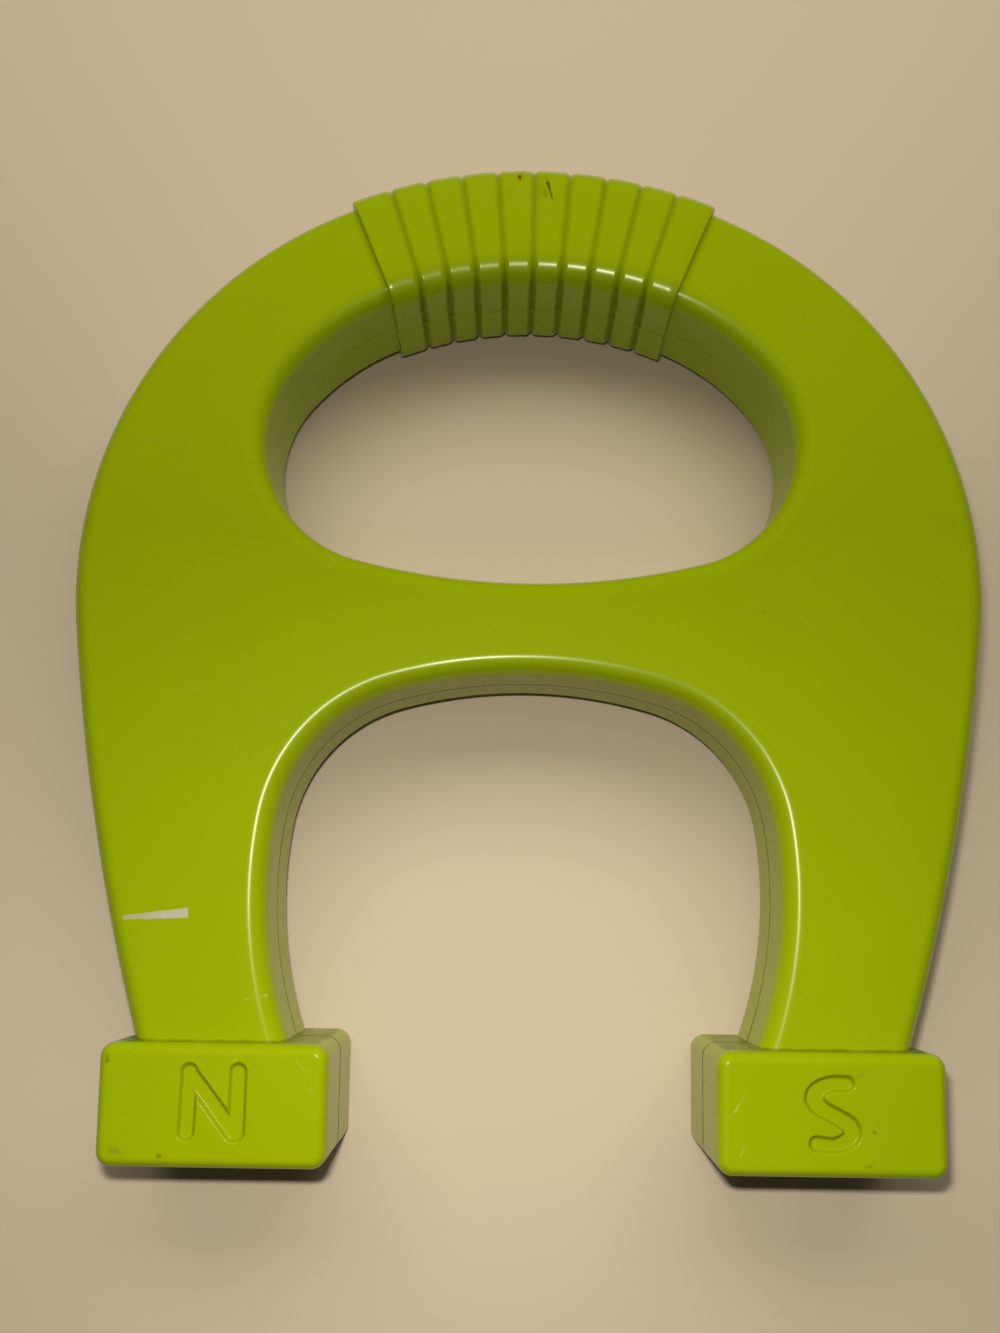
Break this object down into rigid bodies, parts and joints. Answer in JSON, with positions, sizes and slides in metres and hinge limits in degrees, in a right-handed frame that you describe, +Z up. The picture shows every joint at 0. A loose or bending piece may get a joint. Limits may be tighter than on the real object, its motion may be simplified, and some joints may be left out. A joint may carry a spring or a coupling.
{
  "type": "horseshoe magnet",
  "caption": "Large toy horseshoe magnet: a moulded two-shell plastic case with a ribbed hand grip, a wide arch and a ferrite block sealed in each square pole tip.",
  "frame": {"origin": "on the surface that the object lies on, under the middle of its overall box", "axes": "+Z up through the face that carries the pole marks, +Y from the pole tips towards the grip, +X towards the south pole"},
  "size_m": [0.1906, 0.2115, 0.031],
  "materials": {
    "green_plastic": "glossy moulded plastic, lime green with a faint fine sparkle, lightly scuffed",
    "ferrite": "dark grey pressed ferrite, dull and slightly grainy"
  },
  "bodies": {
    "root": {"front_shell": "green_plastic", "back_shell": "green_plastic", "north_magnet": "ferrite", "south_magnet": "ferrite"}
  },
  "joints": []
}
